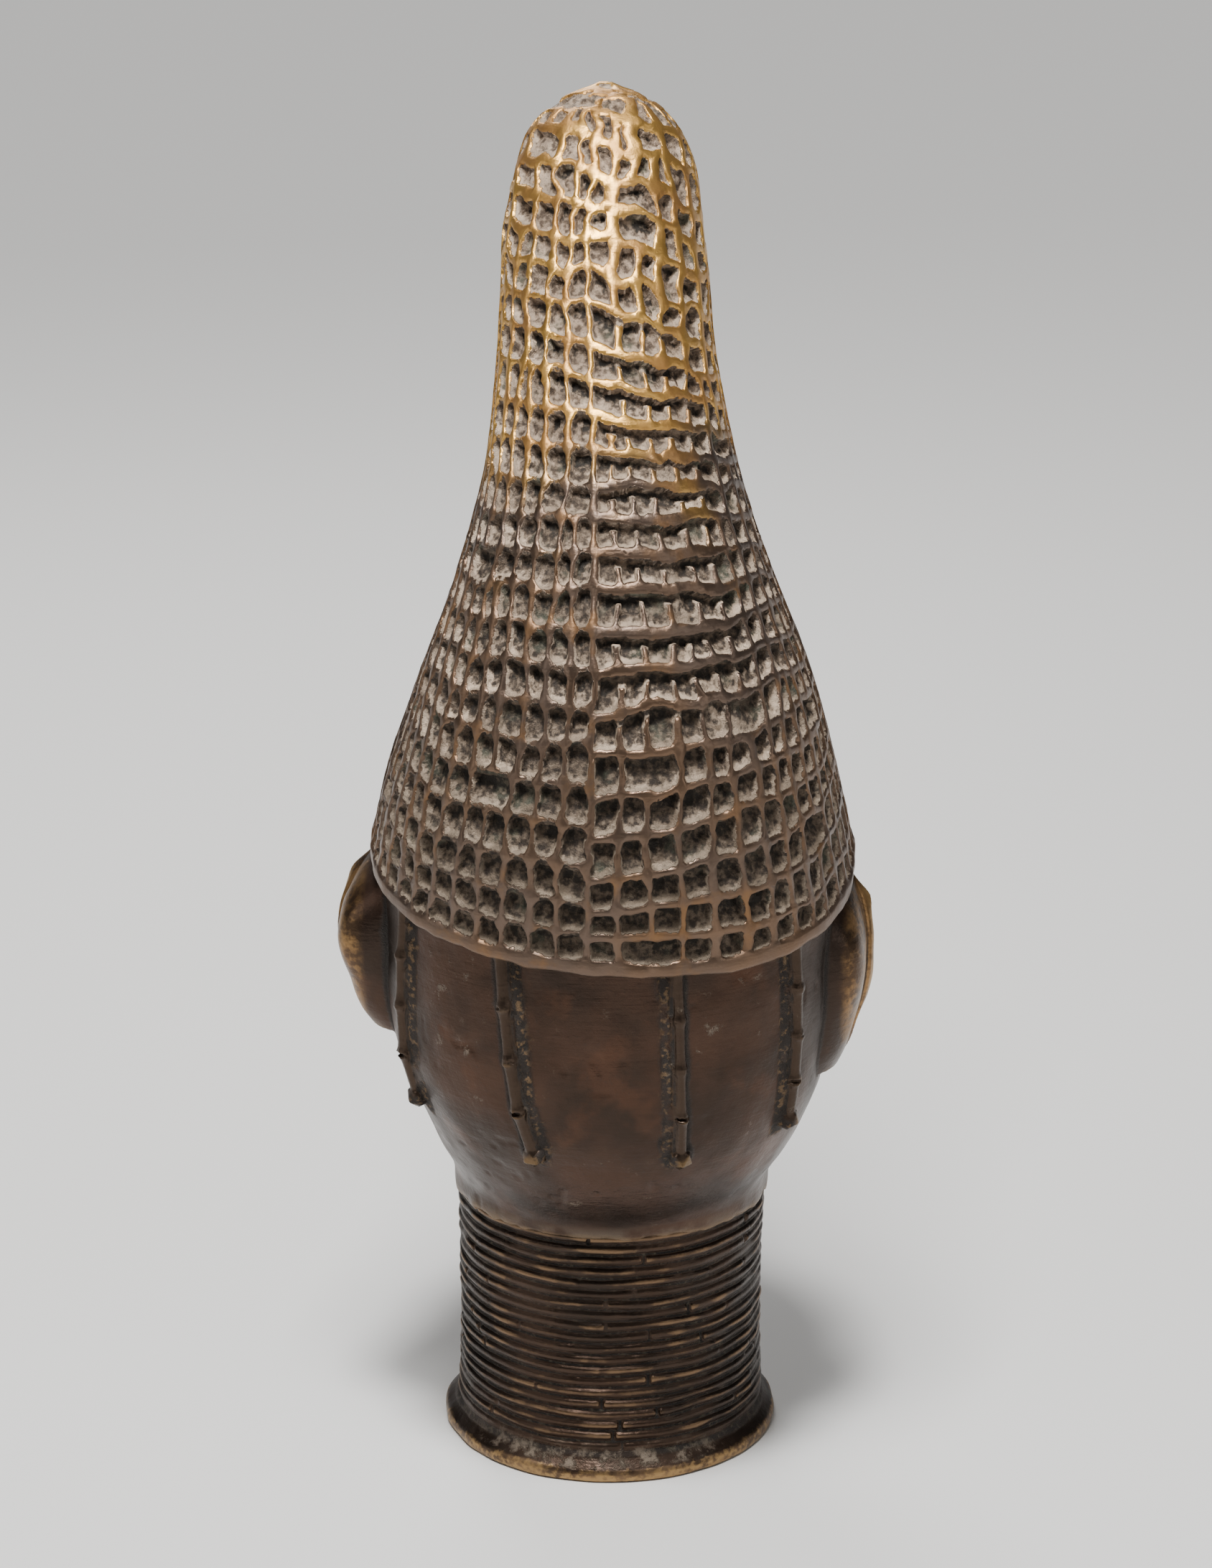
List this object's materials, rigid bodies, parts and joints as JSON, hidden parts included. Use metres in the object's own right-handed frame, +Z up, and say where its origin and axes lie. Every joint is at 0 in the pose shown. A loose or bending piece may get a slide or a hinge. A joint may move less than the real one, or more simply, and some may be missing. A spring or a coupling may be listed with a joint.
{
  "type": "cast bronze head on a ringed collar, with a tall netted cap",
  "caption": "Hollow-cast bronze bust: a calm head under a tall netted cap that leans forward, on a ringed collar with a foot flange.",
  "frame": {"origin": "centre of the flat underside, on the collar's axis", "axes": "+Z up to the tip of the cap, the face looks along -Y, the nape is at +Y"},
  "size_m": [0.2036, 0.2074, 0.513],
  "materials": {
    "bronze": "dark brown cast bronze patina, satin, worn to gold on the cap's ribs"
  },
  "bodies": {
    "root": {"bronze_bust": "bronze"}
  },
  "joints": []
}
